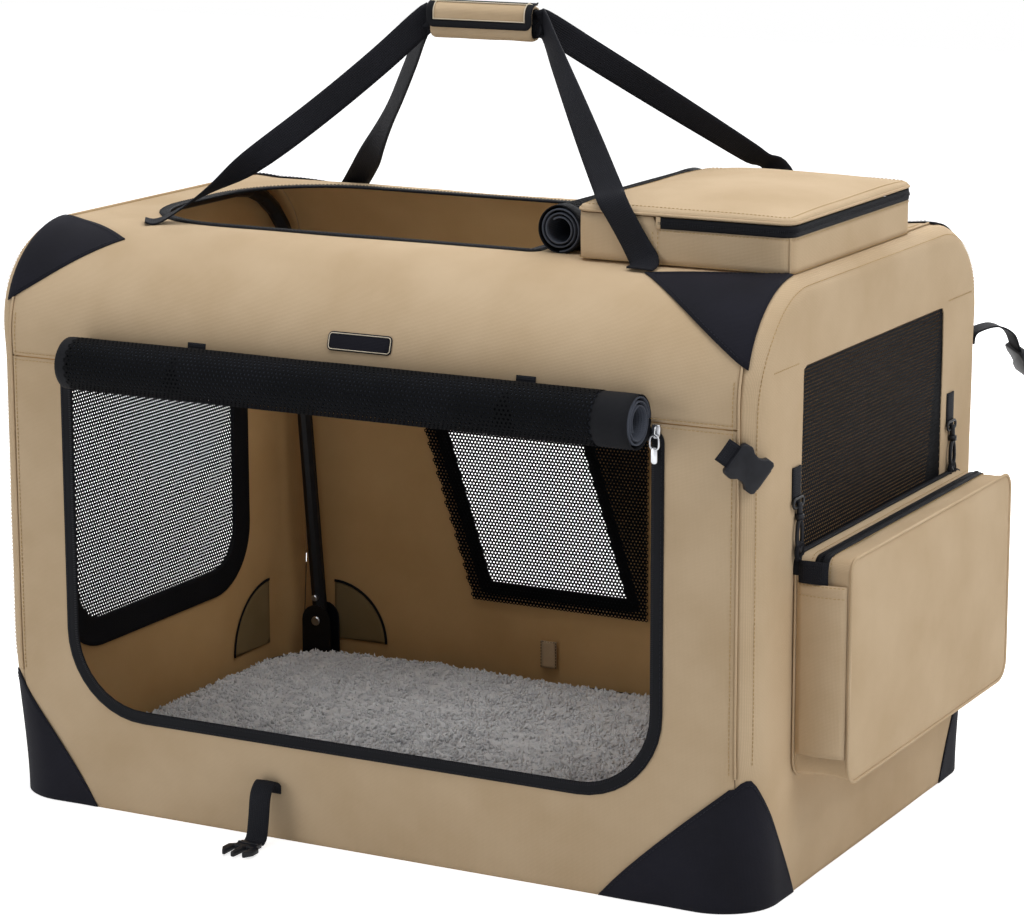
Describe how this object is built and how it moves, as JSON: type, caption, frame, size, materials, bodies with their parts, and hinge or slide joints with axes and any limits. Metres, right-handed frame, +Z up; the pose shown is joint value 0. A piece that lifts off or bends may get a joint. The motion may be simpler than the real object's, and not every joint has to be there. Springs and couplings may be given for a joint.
{
  "type": "soft folding dog crate",
  "caption": "Long cloth dog crate on a folding steel tube frame, with a rolled-up front door, an open roof hatch, a roof case, a side bag and a carrying handle.",
  "frame": {"origin": "the middle of the flat underside, on the floor", "axes": "+X runs along the length to the right as seen from the front, the front with the doorway faces -Y, +Z is up"},
  "size_m": [0.9758, 0.7745, 0.8778],
  "materials": {
    "tan_cloth": "plain woven polyester, matte",
    "black_cloth": "plain woven polyester, matte",
    "black_webbing": "ribbed webbing, matte",
    "black_net": "open knitted net, matte",
    "black_steel": "black powder coat",
    "bright_steel": "bright zinc plate",
    "black_plastic": "moulded, satin",
    "white_fleece": "deep plush pile"
  },
  "bodies": {
    "base": {"base_sleeve_front": "black_steel", "base_sleeve_rear": "black_steel", "base_tube_left": "black_steel", "base_tube_right": "black_steel", "blank_label": "black_cloth", "buckle_socket_front": "black_plastic", "buckle_socket_rear": "black_plastic", "doorway_zip_tape": "black_cloth", "fleece_mat": "white_fleece", "floor_board": "tan_cloth", "foot_bracket_left_front": "black_steel", "foot_bracket_left_rear": "black_steel", "foot_bracket_right_front": "black_steel", "foot_bracket_right_rear": "black_steel", "foot_patch_left_front": "black_cloth", "foot_patch_left_rear": "black_cloth", "foot_patch_right_front": "black_cloth", "foot_patch_right_rear": "black_cloth", "front_door_roll": "black_net", "front_wall": "tan_cloth", "left_wall": "tan_cloth", "pivot_rivet_left_front": "bright_steel", "pivot_rivet_left_rear": "bright_steel", "pivot_rivet_right_front": "bright_steel", "pivot_rivet_right_rear": "bright_steel", "rear_wall": "tan_cloth", "rear_window_net": "black_net", "right_wall": "tan_cloth", "right_window_net": "black_net", "roll_tie_left": "black_webbing", "roll_tie_right": "black_webbing", "roof_wall": "tan_cloth", "roof_zip_tape": "black_cloth", "top_patch_left_front": "black_cloth", "top_patch_left_rear": "black_cloth", "top_patch_right_front": "black_cloth", "top_patch_right_rear": "black_cloth", "zip_slider": "bright_steel"},
    "left_end_hoop": {"left_hoop": "black_steel"},
    "right_end_hoop": {"right_hoop": "black_steel"},
    "button_left_front": {"lock_button_left_front": "bright_steel"},
    "button_left_rear": {"lock_button_left_rear": "bright_steel"},
    "button_right_front": {"lock_button_right_front": "bright_steel"},
    "button_right_rear": {"lock_button_right_rear": "bright_steel"},
    "roof_top": {"case_tray": "tan_cloth", "case_zip_band": "black_cloth", "roof_door_roll": "black_net", "strap_front": "black_webbing", "strap_rear": "black_webbing"},
    "case_cover": {"case_lid": "tan_cloth"},
    "carrying_grip": {"grip_sleeve": "tan_cloth"},
    "grip_cover": {"grip_flap": "black_cloth"},
    "left_door_edge": {"left_door_header": "black_cloth"},
    "left_end_door": {"left_door": "black_net"},
    "bag_hooks": {"bag_hook_front": "black_webbing", "bag_hook_rear": "black_webbing"},
    "hanging_bag": {"side_bag": "tan_cloth", "side_bag_zip": "black_cloth"},
    "front_strap": {"fold_strap_front": "black_webbing", "buckle_plug_front": "black_plastic"}
  },
  "joints": [
    {"name": "left_end_fold", "type": "hinge", "parent": "base", "child": "left_end_hoop", "pos_m": [-0.4005, 0, 0.068], "axis": [0, 1, 0], "range_deg": [0, 88.23], "deforming": ["blank_label", "buckle_socket_front", "buckle_socket_rear", "doorway_zip_tape", "foot_patch_left_front", "foot_patch_left_rear", "foot_patch_right_front", "foot_patch_right_rear", "front_door_roll", "front_wall", "left_wall", "rear_wall", "rear_window_net", "right_wall", "right_window_net", "roll_tie_left", "roll_tie_right", "roof_wall", "roof_zip_tape", "top_patch_left_front", "top_patch_left_rear", "top_patch_right_front", "top_patch_right_rear", "zip_slider", "case_tray", "case_zip_band", "case_lid", "roof_door_roll", "left_door", "side_bag", "side_bag_zip", "left_door_header"]},
    {"name": "right_end_fold", "type": "hinge", "parent": "base", "child": "right_end_hoop", "pos_m": [0.4005, 0, 0.068], "axis": [0, -1, 0], "range_deg": [0, 94.24]},
    {"name": "press_button_left_front", "type": "slide", "parent": "left_end_hoop", "child": "button_left_front", "axis": [0, -1, 0], "range_m": [0, 0.0035], "stiffness_N_per_m": 400, "springref_m": -0.002},
    {"name": "press_button_left_rear", "type": "slide", "parent": "left_end_hoop", "child": "button_left_rear", "axis": [0, 1, 0], "range_m": [0, 0.0035], "stiffness_N_per_m": 400, "springref_m": -0.002},
    {"name": "press_button_right_front", "type": "slide", "parent": "right_end_hoop", "child": "button_right_front", "axis": [0, -1, 0], "range_m": [0, 0.0035], "stiffness_N_per_m": 400, "springref_m": -0.002},
    {"name": "press_button_right_rear", "type": "slide", "parent": "right_end_hoop", "child": "button_right_rear", "axis": [0, 1, 0], "range_m": [0, 0.0035], "stiffness_N_per_m": 400, "springref_m": -0.002},
    {"name": "roof_drop", "type": "slide", "parent": "base", "child": "roof_top", "axis": [0, 0, -1], "range_m": [0, 0.4865]},
    {"name": "case_lid_hinge", "type": "hinge", "parent": "roof_top", "child": "case_cover", "pos_m": [0.1995, 0, 0.6863], "axis": [0, -1, 0], "range_deg": [0, 110]},
    {"name": "handle_drop", "type": "slide", "parent": "roof_top", "child": "carrying_grip", "axis": [0, 0, -1], "range_m": [0, 0.19], "deforming": ["strap_front", "strap_rear"]},
    {"name": "grip_flap_hinge", "type": "hinge", "parent": "carrying_grip", "child": "grip_cover", "pos_m": [0, -0.014, 0.8765], "axis": [-1, 0, 0], "range_deg": [0, 150]},
    {"name": "left_door_drop", "type": "slide", "parent": "base", "child": "left_door_edge", "axis": [0, 0, -1], "range_m": [0, 0.3825]},
    {"name": "left_door_swing", "type": "hinge", "parent": "left_door_edge", "child": "left_end_door", "pos_m": [-0.455, 0, 0.5], "axis": [0, 1, 0], "range_deg": [0, 90]},
    {"name": "side_bag_drop", "type": "slide", "parent": "base", "child": "bag_hooks", "axis": [0, 0, -1], "range_m": [0, 0.3366]},
    {"name": "side_bag_swing", "type": "hinge", "parent": "bag_hooks", "child": "hanging_bag", "pos_m": [0.4553, 0, 0.44], "axis": [0, -1, 0], "range_deg": [0, 30]},
    {"name": "front_strap_swing", "type": "hinge", "parent": "base", "child": "front_strap", "pos_m": [-0.109, -0.3055, 0.058], "axis": [-1, 0, 0], "range_deg": [0, 100]}
  ],
  "couplings": [
    {"joint": "right_end_fold", "follows": "left_end_fold", "ratio": 1.068},
    {"joint": "roof_drop", "follows": "left_end_fold", "m_per_rad": 0.3156},
    {"joint": "left_door_drop", "follows": "left_end_fold", "m_per_rad": 0.2481},
    {"joint": "side_bag_drop", "follows": "left_end_fold", "m_per_rad": 0.2183}
  ]
}
